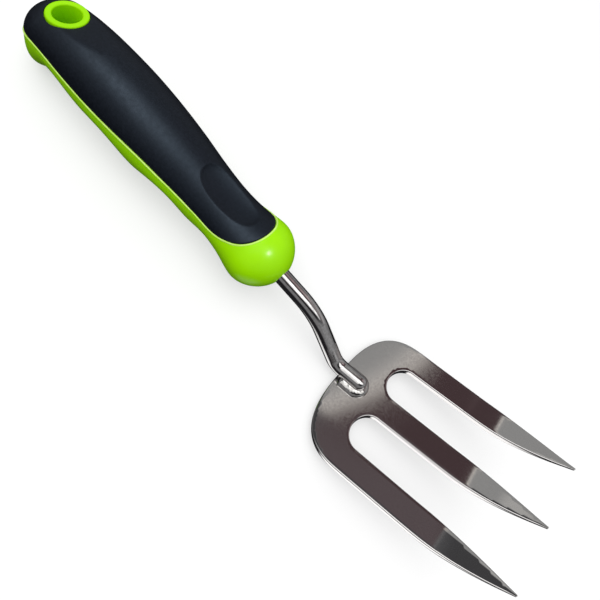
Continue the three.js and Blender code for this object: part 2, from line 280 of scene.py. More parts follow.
def grid_faces(rows, columns, closed):
    """Quads between the rows of a grid of points; closed joins the last column to the first."""
    last = columns if closed else columns - 1
    faces = []
    for r in range(rows - 1):
        for c in range(last):
            n = (c + 1) % columns
            near, far = r * columns, (r + 1) * columns
            faces.append((near + c, near + n, far + n, far + c))
    return faces


def make_piece(name, shells, material, place=None, merge=1e-4, crease=SHARP_EDGE):
    """One smooth mesh from (points, faces) shells in the tool's millimetres."""
    mesh = bpy.data.meshes.new(name)
    build = bmesh.new()
    for points, faces in shells:
        verts = [build.verts.new(p) for p in points]
        for face in faces:
            build.faces.new([verts[i] for i in face])
    bmesh.ops.remove_doubles(build, verts=build.verts, dist=merge)
    bmesh.ops.dissolve_degenerate(build, edges=build.edges, dist=merge)
    bmesh.ops.recalc_face_normals(build, faces=build.faces)
    for face in build.faces:
        face.smooth = True
    build.to_mesh(mesh)
    build.free()
    mesh.transform(TOOL_TO_ROW @ (place or Matrix.Identity(4)))
    mesh.set_sharp_from_angle(angle=math.radians(crease))
    piece = bpy.data.objects.new(name, mesh)
    bpy.context.scene.collection.objects.link(piece)
    mesh.materials.append(material)
    return piece


def cut(piece, cutter):
    """Takes the cutter's solid out of a piece and leaves one plain mesh."""
    modifier = piece.modifiers.new("cut", "BOOLEAN")
    modifier.operation = "DIFFERENCE"
    modifier.solver = "EXACT"
    modifier.object = cutter
    bpy.context.view_layer.update()
    result = bpy.data.meshes.new_from_object(piece.evaluated_get(bpy.context.evaluated_depsgraph_get()))
    old = piece.data
    name = old.name
    piece.modifiers.clear()
    piece.data = result
    bpy.data.meshes.remove(old)
    result.name = name
    bpy.data.objects.remove(cutter)
    while len(result.materials) > 1:
        result.materials.pop(index=len(result.materials) - 1)
    for face in result.polygons:
        face.material_index = 0
    result.set_sharp_from_angle(angle=math.radians(SHARP_EDGE))


def spun(profile, sides, place):
    """A solid of revolution about z from (radius, height) points, as an object to cut with."""
    build = bmesh.new()
    rings = []
    for radius, height in profile:
        ring = []
        for k in range(sides):
            angle = 2 * math.pi * k / sides
            ring.append(build.verts.new((radius * math.cos(angle), radius * math.sin(angle), height)))
        rings.append(ring)
    for low, high in zip(rings, rings[1:]):
        for k in range(sides):
            n = (k + 1) % sides
            build.faces.new((low[k], low[n], high[n], high[k]))
    build.faces.new(rings[0])
    build.faces.new(rings[-1])
    bmesh.ops.recalc_face_normals(build, faces=build.faces)
    mesh = bpy.data.meshes.new("cutter")
    build.to_mesh(mesh)
    build.free()
    mesh.transform(TOOL_TO_ROW @ place)
    cutter = bpy.data.objects.new("cutter", mesh)
    bpy.context.scene.collection.objects.link(cutter)
    return cutter


# ---------------------------------------------------------------- materials


def new_material(name, metallic=0.0):
    material = bpy.data.materials.new(name)
    material.use_nodes = True
    tree = material.node_tree
    shader = tree.nodes["Principled BSDF"]
    shader.inputs["Metallic"].default_value = metallic
    return material, tree, shader


NOISE_LOW = 0.3  # nearly all of the noise lies between these two
NOISE_HIGH = 0.7


def noise_field(tree, scale, detail=3.0):
    """Noise in the piece's own space, with scale in waves a metre."""
    place = tree.nodes.new("ShaderNodeTexCoord")
    field = tree.nodes.new("ShaderNodeTexNoise")
    field.inputs["Scale"].default_value = scale
    field.inputs["Detail"].default_value = detail
    tree.links.new(place.outputs["Object"], field.inputs["Vector"])
    return field.outputs["Fac"]


def vary_colour(tree, shader, factor, low, high):
    """Lets the colour run from low to high with the noise."""
    ramp = tree.nodes.new("ShaderNodeValToRGB")
    ramp.color_ramp.elements[0].position = NOISE_LOW
    ramp.color_ramp.elements[1].position = NOISE_HIGH
    ramp.color_ramp.elements[0].color = (*low, 1)
    ramp.color_ramp.elements[1].color = (*high, 1)
    tree.links.new(factor, ramp.inputs["Fac"])
    tree.links.new(ramp.outputs["Color"], shader.inputs["Base Color"])


def vary_roughness(tree, shader, factor, low, high):
    """Lets the roughness run from low to high with the noise."""
    spread = tree.nodes.new("ShaderNodeMapRange")
    spread.inputs["From Min"].default_value = NOISE_LOW
    spread.inputs["From Max"].default_value = NOISE_HIGH
    spread.inputs["To Min"].default_value = low
    spread.inputs["To Max"].default_value = high
    tree.links.new(factor, spread.inputs["Value"])
    tree.links.new(spread.outputs["Result"], shader.inputs["Roughness"])


def add_bump(tree, shader, factor, strength, height):
    """A fine relief from the noise, with its height in metres."""
    bump = tree.nodes.new("ShaderNodeBump")
    bump.inputs["Strength"].default_value = strength
    bump.inputs["Distance"].default_value = height
    tree.links.new(factor, bump.inputs["Height"])
    tree.links.new(bump.outputs["Normal"], shader.inputs["Normal"])


def lime_plastic():
    material, tree, shader = new_material("lime_plastic")
    shader.inputs["Specular IOR Level"].default_value = 0.08
    shader.inputs["Coat Weight"].default_value = 0.15
    shader.inputs["Coat Roughness"].default_value = 0.2
    vary_colour(tree, shader, noise_field(tree, 60), (0.285, 0.69, 0.0), (0.32, 0.74, 0.0))
    vary_roughness(tree, shader, noise_field(tree, 220), 0.34, 0.42)
    add_bump(tree, shader, noise_field(tree, 1400, 2), 0.12, 0.00003)
    return material


def lime_painted_highlight():
    """The core's raised edge along the seam, coloured paler than the core as a painted highlight."""
    material, tree, shader = new_material("lime_painted_highlight")
    vary_colour(tree, shader, noise_field(tree, 400), (0.48, 0.80, 0.09), (0.60, 0.88, 0.20))
    vary_roughness(tree, shader, noise_field(tree, 220), 0.26, 0.34)
    return material


def soft_rubber():
    material, tree, shader = new_material("soft_rubber")
    shader.inputs["Specular IOR Level"].default_value = 0.5
    shader.inputs["Specular Tint"].default_value = (0.62, 0.80, 1.0, 1)
    vary_colour(tree, shader, noise_field(tree, 900, 4), (0.002, 0.0025, 0.0045), (0.005, 0.006, 0.010))
    vary_roughness(tree, shader, noise_field(tree, 500), 0.42, 0.52)
    add_bump(tree, shader, noise_field(tree, 2600, 4), 0.35, 0.00006)
    return material


def polished_steel():
    material, tree, shader = new_material("polished_steel", metallic=1.0)
    vary_colour(tree, shader, noise_field(tree, 5200, 3), (0.56, 0.54, 0.53), (0.72, 0.70, 0.69))
    vary_roughness(tree, shader, noise_field(tree, 900), 0.035, 0.06)
    add_bump(tree, shader, noise_field(tree, 4200, 3), 0.05, 0.000004)
    return material


def rod_steel():
    material, tree, shader = new_material("rod_steel", metallic=1.0)
    vary_colour(tree, shader, noise_field(tree, 900, 4), (0.52, 0.50, 0.49), (0.66, 0.65, 0.64))
    vary_roughness(tree, shader, noise_field(tree, 260), 0.05, 0.11)
    add_bump(tree, shader, noise_field(tree, 700, 3), 0.10, 0.00002)
    return material


def weld_metal():
    material, tree, shader = new_material("weld_metal", metallic=1.0)
    vary_colour(tree, shader, noise_field(tree, 700, 4), (0.45, 0.43, 0.41), (0.7, 0.69, 0.67))
    vary_roughness(tree, shader, noise_field(tree, 500), 0.06, 0.14)
    add_bump(tree, shader, noise_field(tree, 900, 3), 0.2, 0.00004)
    return material


# ---------------------------------------------------------------- handle form

middle = smooth_line(MIDDLE)
crest = smooth_line(CREST)
keel = smooth_line(KEEL)
flank = smooth_line(FLANK)
groove = smooth_line(GROOVE)


def rounded_end(overrun, length):
    return np.sqrt(np.clip(1 - (np.maximum(overrun, 0) / length) ** 2, 0, 1))


def sleeve_face(x):
    return SLEEVE_TOP + SLEEVE_SLOPE * (x - HANG_X)


def soft_minimum(first, second, softness):
    share = np.clip(0.5 + 0.5 * (second - first) / softness, 0, 1)
    return second * (1 - share) + first * share - softness * share * (1 - share)


def section(behind, angle):
    """(y, z) of the handle's skin at a distance behind the nose and an angle round the tool's axis."""
    nose = rounded_end(NOSE_CAP - behind, NOSE_CAP)
    butt = rounded_end(behind - HANDLE_LENGTH + BUTT_CAP, BUTT_CAP)
    height = np.where(np.sin(angle) > 0, crest(behind), keel(behind))
    full = nose * butt * (1 - smoothstep(-np.sin(angle)) * groove(behind) / height)
    across = flank(behind) * full * np.cos(angle)
    up = middle(behind) + height * full * np.sin(angle)
    seat = sleeve_face(-behind) - SLEEVE_PROUD
    return across, soft_minimum(up, seat, SEAT_SOFTNESS)


def skin(direction):
    """The handle's skin for directions on a unit sphere whose x axis lies along the tool."""
    behind = (1 - direction[..., 0]) / 2 * HANDLE_LENGTH
    angle = np.arctan2(direction[..., 2], direction[..., 1])
    across, up = section(behind, angle)
    return np.stack([-behind, across, up], axis=-1)


def unit(vectors):
    return vectors / np.maximum(np.linalg.norm(vectors, axis=-1, keepdims=True), 1e-12)


def sphere_direction(behind, angle):
    along = 1 - 2 * np.asarray(behind) / HANDLE_LENGTH
    round_part = np.sqrt(np.clip(1 - along ** 2, 0, 1))
    return np.stack([along, round_part * np.cos(angle), round_part * np.sin(angle)], axis=-1)


def skin_normal(direction):
    """Outward normals of the skin, from four neighbours of each direction."""
    step = 2e-3
    sideways = np.abs(direction[..., 1:2]) < 0.8
    helper = np.where(sideways, np.array([0.0, 1.0, 0.0]), np.array([0.0, 0.0, 1.0]))
    first = unit(np.cross(direction, helper))
    second = np.cross(direction, first)
    a = skin(unit(direction + step * first)) - skin(unit(direction - step * first))
    b = skin(unit(direction + step * second)) - skin(unit(direction - step * second))
    normal = unit(np.cross(a, b))
    outward = np.sum(normal * direction, axis=-1, keepdims=True)
    return np.where(outward < 0, -normal, normal)


def spline_points(points, count):
    """A uniform Catmull-Rom curve through (behind, height) points."""
    points = np.array(points, float)
    ahead = np.vstack([points[:1], points, points[-1:]])
    spans = len(points) - 1
    t = np.linspace(0, spans, count)
    k = np.minimum(t.astype(int), spans - 1)
    w = (t - k)[:, None]
    p0, p1, p2, p3 = ahead[k], ahead[k + 1], ahead[k + 2], ahead[k + 3]
    v0 = (p2 - p0) / 2
    v1 = (p3 - p1) / 2
    return (2 * p1 - 2 * p2 + v0 + v1) * w ** 3 + (-3 * p1 + 3 * p2 - 2 * v0 - v1) * w ** 2 + v0 * w + p1


EDGE_LINE = spline_points(GRIP_EDGE, 4000)


def seam_half(spacing):
    """The seam's left half as (behind, angle), evenly spaced from the crest to the butt's underside."""
    behind, height = EDGE_LINE[::-1].T
    low = np.full(behind.shape, -math.pi / 2)
    high = np.full(behind.shape, math.pi / 2)
    under_crest = section(behind, high)[1] > height
    over_keel = section(behind, low)[1] < height
    inside = (behind < HANDLE_LENGTH) & under_crest & over_keel
    behind, height, low, high = behind[inside], height[inside], low[inside], high[inside]
    for _ in range(HALVINGS):
        centre = (low + high) / 2
        under = section(behind, centre)[1] < height
        low = np.where(under, centre, low)
        high = np.where(under, high, centre)
    angle = (low + high) / 2
    angle[0] = math.pi / 2
    angle[-1] = -math.pi / 2
    across, up = section(behind, angle)
    line = np.stack([-behind, across, up, behind, angle], axis=1)
    run = np.concatenate([[0], np.cumsum(np.linalg.norm(np.diff(line[:, :3], axis=0), axis=1))])
    places = np.linspace(0, run[-1], round(run[-1] / spacing) + 1)
    return np.interp(places, run, behind), np.interp(places, run, angle)


def seam_loop(spacing):
    """The whole seam as directions on the unit sphere, and each one's distance behind the nose."""
    behind, angle = seam_half(spacing)
    behind = np.concatenate([behind, behind[-2:0:-1]])
    angle = np.concatenate([angle, math.pi - angle[-2:0:-1]])
    return sphere_direction(behind, angle), behind


def above_seam(points):
    """Signed distance of points above the seam, seen from the side; none in front of it counts as above."""
    behind, height = EDGE_LINE[::-1].T
    slope = np.gradient(height, behind)
    seam_height = np.interp(-points[..., 0], behind, height)
    seam_slope = np.interp(-points[..., 0], behind, slope)
    distance = (points[..., 2] - seam_height) / np.sqrt(1 + seam_slope ** 2)
    in_front = -points[..., 0] < behind[0]
    return np.where(in_front, -math.inf, distance)


# ---------------------------------------------------------------- handle pieces

SPINE_FRONT = 40
SPINE_REAR = 138


def press_thumb(points):
    """Lowers the points in the thumb recess to an oval hollow with a softly rounded rim."""
    length, width, depth = THUMB_SIZE
    reach = ((points[..., 0] - THUMB_X) / length) ** 2 + (points[..., 1] / width) ** 2
    hollow = crest(-THUMB_X) + THUMB_RISE - depth * np.sqrt(np.clip(1 - reach, 0, 1))
    lowered = soft_minimum(points[..., 2], hollow, THUMB_SOFTNESS)
    result = points.copy()
    result[..., 2] = np.where((points[..., 2] > 0) & (reach < 1), lowered, points[..., 2])
    return result


def soft_grip():
    """The rubber skin: flat underside, rounded edge along the seam, and the outside up to the crest."""
    loop, behind = seam_loop(SEAM_SPACING)
    spine = sphere_direction(np.clip(behind, SPINE_FRONT, SPINE_REAR), math.pi / 2)
    near = 0.02
    width = np.linalg.norm(skin(unit(loop * (1 - near) + spine * near)) - skin(loop), axis=-1) / near
    rows = []

    def add_row(share, inset):
        """A row under the skin by `inset`, at a share of the way from the seam to the spine."""
        share = share[:, None]
        direction = unit(loop * (1 - share) + spine * share)
        rows.append(skin(direction) - inset * skin_normal(direction))

    edge = GRIP_SETBACK / width
    inner = (GRIP_SETBACK + GRIP_ROUNDING) / width
    for k in range(GRIP_UNDER_ROWS, -1, -1):
        add_row(edge + (1 - edge) * k / GRIP_UNDER_ROWS, GRIP_DEPTH)
    for k in range(GRIP_EDGE_ROWS + 1):
        turn = math.pi / 2 * k / GRIP_EDGE_ROWS
        distance = GRIP_SETBACK + GRIP_ROUNDING * (1 - math.cos(turn))
        add_row(distance / width, GRIP_ROUNDING * (1 - math.sin(turn)))
    for k in range(1, GRIP_SKIN_ROWS + 1):
        add_row(inner + (1 - inner) * k / GRIP_SKIN_ROWS, 0.0)
    grid = np.array(rows)
    outside = GRIP_UNDER_ROWS + 1
    grid[outside:] = press_thumb(grid[outside:])
    sink = np.array([0, 0, GRIP_DEPTH])
    grid[:GRIP_UNDER_ROWS] = press_thumb(grid[:GRIP_UNDER_ROWS] + sink) - sink
    faces = grid_faces(len(grid), len(loop), True)
    piece = make_piece("soft_grip_skin", [(grid.reshape(-1, 3), faces)], soft_rubber())
    window = [(SLEEVE_RADIUS + GAP, 0), (SLEEVE_RADIUS + GAP, CUTTER_REACH)]
    cut(piece, spun(window, HOLE_SIDES, Matrix.Translation((HANG_X, 0, 0))))
    return piece


def bead_shell():
    """The raised edge of the core along the seam, as a closed tube."""
    loop, _ = seam_loop(SEAM_SPACING)
    normal = skin_normal(loop)
    centre = skin(loop) - BEAD_SINK * normal
    along = unit(np.roll(centre, -1, axis=0) - np.roll(centre, 1, axis=0))
    side = np.cross(along, normal)
    rings = []
    for k in range(BEAD_SIDES):
        turn = 2 * math.pi * k / BEAD_SIDES
        rings.append(centre + BEAD_RADIUS * (math.cos(turn) * normal + math.sin(turn) * side))
    grid = np.array(rings + rings[:1])
    rows, columns, _ = grid.shape
    return grid.reshape(-1, 3), grid_faces(rows, columns, True)


def core_shell():
    """The core's whole skin, sunk where the grip covers it."""
    tilt = np.linspace(0, math.pi, CORE_RINGS)[:, None]
    angle = np.linspace(0, 2 * math.pi, CORE_SIDES, endpoint=False)[None, :]
    direction = np.stack(np.broadcast_arrays(np.cos(tilt), np.sin(tilt) * np.cos(angle),
                                             np.sin(tilt) * np.sin(angle)), axis=-1)
    points = skin(direction)
    start, end = SEAM_DROP
    sink = CORE_SINK * smoothstep((above_seam(points) - start) / (end - start))
    thumb_drop = points[..., 2] - press_thumb(points)[..., 2]
    points = points - sink[..., None] * skin_normal(direction)
    points[..., 2] -= np.where(sink > 0, thumb_drop, 0)
    return points.reshape(-1, 3), grid_faces(CORE_RINGS, CORE_SIDES, True)


def sleeve_shell():
    """The ring round the hang hole: outer wall, flat face with rounded edges, and the top of the bore."""
    turn = np.linspace(0, 2 * math.pi, SLEEVE_SIDES, endpoint=False)
    rows = []

    def ring(radius, drop):
        x = HANG_X + radius * np.cos(turn)
        rows.append(np.stack([x, radius * np.sin(turn), sleeve_face(x) - drop], axis=-1))

    ring(SLEEVE_RADIUS, SLEEVE_WALL)
    for k in range(LIP_ROWS + 1):
        sweep = math.pi / 2 * k / LIP_ROWS
        ring(SLEEVE_RADIUS - LIP_ROUNDING * (1 - math.cos(sweep)), LIP_ROUNDING * (1 - math.sin(sweep)))
    for k in range(LIP_ROWS + 1):
        sweep = math.pi / 2 * k / LIP_ROWS
        ring(HANG_RADIUS + LIP_ROUNDING * (1 - math.sin(sweep)), LIP_ROUNDING * (1 - math.cos(sweep)))
    ring(HANG_RADIUS, SLEEVE_BORE)
    ring(HANG_RADIUS + SLEEVE_BORE_WALL, SLEEVE_BORE)
    rows.append(rows[0])
    grid = np.array(rows)
    return grid.reshape(-1, 3), grid_faces(len(grid), SLEEVE_SIDES, True)


def handle_core():
    piece = make_piece("handle_core_skin", [core_shell()], lime_plastic())
    hang_hole = [(HANG_RADIUS + wider, height) for wider, height in HOLE_MOUTH]
    cut(piece, spun(hang_hole, HOLE_SIDES, Matrix.Translation((HANG_X, 0, 0))))
    tang_hole = [(ROD_RADIUS + wider, height) for wider, height in TANG_MOUTH]
    cut(piece, spun(tang_hole, TANG_HOLE_SIDES, Matrix.Rotation(math.pi / 2, 4, "Y")))
    return piece


def core_rim():
    # the rim's paler colour is a painted highlight along the seam
    return make_piece("handle_core_rim", [bead_shell()], lime_painted_highlight(), merge=1e-5)


def core_sleeve(material):
    return make_piece("handle_core_sleeve", [sleeve_shell()], material, merge=1e-5)


# ---------------------------------------------------------------- shank


def bezier(a, b, c, count):
    t = np.linspace(0, 1, count)[:, None]
    return a * (1 - t) ** 2 + 2 * b * t * (1 - t) + c * t * t


def upright(vector):
    """The (x, z) of a vector, in the tool's upright plane."""
    return np.array([vector.x, vector.z])


def head_lift(x):
    """Height of the head's top face above its flat middle."""
    rise = np.maximum(0, (HEEL_RISE_LENGTH - x) / HEEL_RISE_LENGTH)
    curl = np.maximum(0, x - LIFT_START)
    return HEEL_RISE * rise ** 2 + curl ** 2 / (2 * LIFT_RADIUS)


def over_head(x):
    """A point of the foot's centre line, at a distance in front of the heel."""
    return upright(HEAD_TO_TOOL @ Vector((x, 0, ROD_RADIUS + GAP + float(head_lift(x)))))


FOOT_CORNER = over_head(-FOOT_SETBACK)
FOOT_END = over_head(FOOT_LENGTH)
FOOT_FORWARD = (FOOT_END - FOOT_CORNER) / np.linalg.norm(FOOT_END - FOOT_CORNER)
# the foot's own frame: x = 0 over the heel, z = 0 on the head under the foot
FOOT_TO_TOOL = (Matrix.Translation((FOOT_CORNER[0], 0, FOOT_CORNER[1]))
                @ Matrix.Rotation(-math.atan2(FOOT_FORWARD[1], FOOT_FORWARD[0]), 4, "Y")
                @ Matrix.Translation((FOOT_SETBACK, 0, -ROD_RADIUS - GAP)))


def shank_path():
    """The shank's centre line in the tool's upright plane."""
    crank = np.array([CRANK_X, 0.0])
    fall = (FOOT_CORNER - crank) / np.linalg.norm(FOOT_CORNER - crank)
    parts = [
        np.array([[-TANG_LENGTH, 0.0]]),
        bezier(crank - [CRANK_RUN, 0], crank, crank + CRANK_RUN * fall, 60),
        bezier(FOOT_CORNER - FOOT_RUN * fall, FOOT_CORNER, FOOT_CORNER + FOOT_RUN * FOOT_FORWARD, 40),
        np.array([FOOT_END]),
    ]
    return resample(np.vstack(parts), ROD_SPACING, False)


def shank():
    path = shank_path()
    along = unit(np.gradient(path, axis=0))
    turn = np.linspace(0, 2 * math.pi, ROD_SIDES, endpoint=False)
    point = 0.02  # radius of the closing rings
    rows = []

    def ring(centre, direction, radius):
        normal = np.array([-direction[1], direction[0]])
        x = centre[0] + radius * np.sin(turn) * normal[0]
        z = centre[1] + radius * np.sin(turn) * normal[1]
        rows.append(np.stack([x, radius * np.cos(turn), z], axis=-1))

    ring(path[0], along[0], point)
    for centre, direction in zip(path, along):
        ring(centre, direction, ROD_RADIUS)
    for k in range(1, ROD_END_ROWS + 1):
        sweep = math.pi / 2 * k / ROD_END_ROWS
        centre = path[-1] + ROD_RADIUS * math.sin(sweep) * along[-1]
        ring(centre, along[-1], max(point, ROD_RADIUS * math.cos(sweep)))
    grid = np.array(rows)
    count = len(grid) * ROD_SIDES
    faces = grid_faces(len(grid), ROD_SIDES, True)
    faces.append(tuple(range(ROD_SIDES)))
    faces.append(tuple(range(count - ROD_SIDES, count))[::-1])
    return make_piece("shank_rod", [(grid.reshape(-1, 3), faces)], rod_steel(), merge=1e-6)


# ---------------------------------------------------------------- head

HALF_SPAN = TINE_PITCH + TINE_ROOT_WIDTH / 2


def tine_half_width(x):
    down = np.clip((x - SLOT_START) / (SHOULDER_START - SLOT_START), 0, 1)
    straight = (TINE_ROOT_WIDTH + (TINE_SHOULDER_WIDTH - TINE_ROOT_WIDTH) * down) / 2
    taper = np.clip((x - SHOULDER_START) / (HEAD_LENGTH - SHOULDER_START), 0, 1)
    return straight * (1 - taper ** TAPER_POWER) + TIP_WIDTH / 2 * taper


def head_outline():
    """The head's edge in its own plane, once round, without its last point."""
    angle = np.linspace(0, math.pi / 2, 300)
    heel_x = HEEL_LENGTH * (1 - np.cos(angle).clip(0) ** (2 / HEEL_SQUARENESS))
    heel_y = HALF_SPAN * np.sin(angle) ** (2 / HEEL_SQUARENESS)
    pieces = [np.stack([heel_x, -heel_y], axis=1)]
    side_x = np.linspace(SLOT_START, HEAD_LENGTH, 400)
    sweep = np.linspace(0, math.pi, 100)[1:-1]
    slot_half = (TINE_PITCH - TINE_ROOT_WIDTH) / 2
    for centre in (-TINE_PITCH, 0, TINE_PITCH):
        pieces.append(np.stack([side_x, centre - tine_half_width(side_x)], axis=1))
        pieces.append(np.stack([side_x, centre + tine_half_width(side_x)], axis=1)[::-1])
        if centre < TINE_PITCH:
            slot_x = SLOT_START - SLOT_END_DEPTH * np.sin(sweep)
            slot_y = centre + TINE_PITCH / 2 - slot_half * np.cos(sweep)
            pieces.append(np.stack([slot_x, slot_y], axis=1))
    pieces.append(np.stack([heel_x, heel_y], axis=1)[::-1][:-1])
    return resample(np.vstack(pieces), HEAD_SPACING, True)


def head_thickness(x):
    thinned = np.clip((x - THINNING_START) / (HEAD_LENGTH - THINNING_START), 0, 1)
    return PLATE_THICKNESS + (TIP_THICKNESS - PLATE_THICKNESS) * thinned


def inside_outline(points, outline):
    """Which points lie inside a closed outline, and how far each is from it."""
    x, y = points[:, :1], points[:, 1:]
    x0, y0 = outline.T
    x1, y1 = np.roll(outline, -1, axis=0).T
    spans = (y0 > y) != (y1 > y)
    crossing = x0 + (y - y0) * (x1 - x0) / np.where(y1 == y0, 1e-9, y1 - y0)
    inside = np.sum(spans & (x < crossing), axis=1) % 2 == 1
    distance = np.sqrt(((x - x0) ** 2 + (y - y0) ** 2).min(axis=1))
    return inside, distance


def raised(points, rise):
    return points + np.stack([0 * rise, 0 * rise, rise], axis=1)


def fork_head():
    """The head's plate: its top and bottom faces, and the side wall with rounded edges."""
    outline = head_outline()
    tangent = unit(np.roll(outline, -1, axis=0) - np.roll(outline, 1, axis=0))
    inward = np.stack([-tangent[:, 1], tangent[:, 0]], axis=1)
    room = np.where(outline[:, 0] > SLOT_START, tine_half_width(outline[:, 0]), TINE_ROOT_WIDTH)
    thick = head_thickness(outline[:, 0])
    rounding = np.minimum(EDGE_ROUNDING, EDGE_SHARE * np.minimum(room, thick))
    rim = outline + inward * rounding[:, None]

    along = np.arange(HEAD_GRID / 2, HEAD_LENGTH, HEAD_GRID)
    grid_x, grid_y = np.meshgrid(along, np.arange(-HALF_SPAN, HALF_SPAN, HEAD_GRID))
    grid = np.stack([grid_x.ravel(), grid_y.ravel()], axis=1)
    inside, distance = inside_outline(grid, rim)
    grid = grid[inside & (distance > 0.7 * HEAD_GRID)]
    count = len(rim)
    flat_points = [Vector(p) for p in np.vstack([rim, grid]).tolist()]
    borders = [(k, (k + 1) % count) for k in range(count)]
    filled = geometry.delaunay_2d_cdt(flat_points, borders, [], 1, 1e-7)
    plan = np.array([list(p) for p in filled[0]])
    triangles = [tuple(face) for face in filled[2]]

    def top(points):
        return np.stack([points[:, 0], points[:, 1], head_lift(points[:, 0])], axis=1)

    def bottom(points):
        return raised(top(points), -head_thickness(points[:, 0]))

    sweeps = [math.pi / 2 * k / HEAD_EDGE_ROWS for k in range(HEAD_EDGE_ROWS + 1)]
    lines = [outline + inward * (rounding * (1 - math.sin(sweep)))[:, None] for sweep in sweeps]
    drops = [rounding * (1 - math.cos(sweep)) for sweep in sweeps]
    rows = [raised(top(line), -drop) for line, drop in zip(lines, drops)]
    rows += [raised(bottom(line), drop) for line, drop in zip(lines[::-1], drops[::-1])]
    wall = np.array(rows)
    shells = [
        (top(plan), triangles),
        (bottom(plan), [face[::-1] for face in triangles]),
        (wall.reshape(-1, 3), grid_faces(len(wall), count, True)),
    ]
    return make_piece("fork_head_plate", shells, polished_steel(), HEAD_TO_TOOL,
                      merge=2e-4, crease=60)


# ---------------------------------------------------------------- weld


def weld_bead():
    """A rippled mound round the shank's foot, in rows from its edge up to its crest."""
    front_centre = FOOT_LENGTH + ROD_RADIUS + WELD_FRONT - WELD_HALF_WIDTH
    rear_centre = WELD_REAR + WELD_TAIL
    sweep = np.linspace(-math.pi / 2, math.pi / 2, 60)
    side = WELD_HALF_WIDTH * np.sin(sweep)
    nose = np.stack([front_centre + WELD_HALF_WIDTH * np.cos(sweep), side], axis=1)
    tail = np.stack([rear_centre - WELD_TAIL * np.cos(sweep), -side], axis=1)
    loop = resample(np.vstack([nose, tail]), WELD_SPACING, True)
    spine = np.stack([np.clip(loop[:, 0], rear_centre, front_centre), 0 * loop[:, 0]], axis=1)
    run = np.concatenate([[0], np.cumsum(np.linalg.norm(np.diff(loop, axis=0), axis=1))])
    rows = [np.column_stack([loop, -WELD_SKIRT + 0 * run])]
    for k in range(WELD_ROWS + 1):
        share = k / WELD_ROWS
        line = loop * (1 - share) + spine * share
        height = WELD_HEIGHT * math.sqrt(max(0, 1 - (1 - share) ** 2))
        waves = run / WELD_RIPPLE_LENGTH + WELD_RIPPLE_SWIRL * share
        ripple = WELD_RIPPLE * np.sin(2 * math.pi * waves) * math.sin(math.pi * min(1, 1.6 * share))
        places = [Vector((x * WELD_LUMP_SCALE, y * WELD_LUMP_SCALE, WELD_LUMP_SLICE)) for x, y in line]
        lumps = WELD_LUMPS * np.array([noise.noise(place) for place in places]) * min(1, 4 * share)
        rows.append(np.column_stack([line, height + ripple + lumps]))
    grid = np.array(rows)
    faces = grid_faces(len(grid), len(loop), True)
    faces.append(tuple(range(len(loop))))
    place = FOOT_TO_TOOL @ Matrix.Translation((0, 0, WELD_LIFT))
    return make_piece("weld_bead_ripple", [(grid.reshape(-1, 3), faces)], weld_metal(),
                      place, merge=1e-5)


# ---------------------------------------------------------------- assembly

fork = fork_head()
rod = shank()
weld = weld_bead()
core = handle_core()
rim = core_rim()
sleeve = core_sleeve(core.data.materials[0])
grip = soft_grip()

for piece, node in ((fork, "fork_head"), (rod, "shank"), (weld, "weld_bead"), (core, "handle_core"),
                    (rim, "handle_core"), (sleeve, "handle_core"), (grip, "soft_grip")):
    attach(piece, "root")
    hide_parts(node)

# ---------------------------------------------------------------- stage, light and camera


def floor():
    """A plain pale floor that glows a little, so that shadows stay faint."""
    mesh = bpy.data.meshes.new("floor")
    corners = [(-FLOOR_HALF, -FLOOR_HALF, 0), (FLOOR_HALF, -FLOOR_HALF, 0),
               (FLOOR_HALF, FLOOR_HALF, 0), (-FLOOR_HALF, FLOOR_HALF, 0)]
    mesh.from_pydata(corners, [], [(0, 1, 2, 3)])
    stage = bpy.data.objects.new("floor", mesh)
    bpy.context.scene.collection.objects.link(stage)
    material, _, shader = new_material("floor")
    shader.inputs["Base Color"].default_value = (FLOOR_SHADE, FLOOR_SHADE, FLOOR_SHADE, 1)
    shader.inputs["Roughness"].default_value = FLOOR_ROUGHNESS
    shader.inputs["Emission Color"].default_value = (1, 1, 1, 1)
    shader.inputs["Emission Strength"].default_value = FLOOR_GLOW
    shader.inputs["Specular IOR Level"].default_value = 0.0
    mesh.materials.append(material)
    stage.visible_glossy = False
    stage.visible_diffuse = False


def area_light(name, place, aim, size, power, shining_on=()):
    """A soft light for all matt surfaces, or a shine on only the pieces that `shining_on` names."""
    lamp = bpy.data.lights.new(name, "AREA")
    lamp.shape = "RECTANGLE"
    lamp.size = lamp.size_y = size
    lamp.energy = power
    light = bpy.data.objects.new(name, lamp)
    light.location = place
    light.rotation_euler = (Vector(aim) - Vector(place)).to_track_quat("-Z", "Y").to_euler()
    light.visible_glossy = bool(shining_on)
    light.visible_diffuse = not shining_on
    if shining_on:
        receivers = bpy.data.collections.new(name)
        for piece in shining_on:
            receivers.objects.link(piece)
        light.light_linking.receiver_collection = receivers
    bpy.context.scene.collection.objects.link(light)


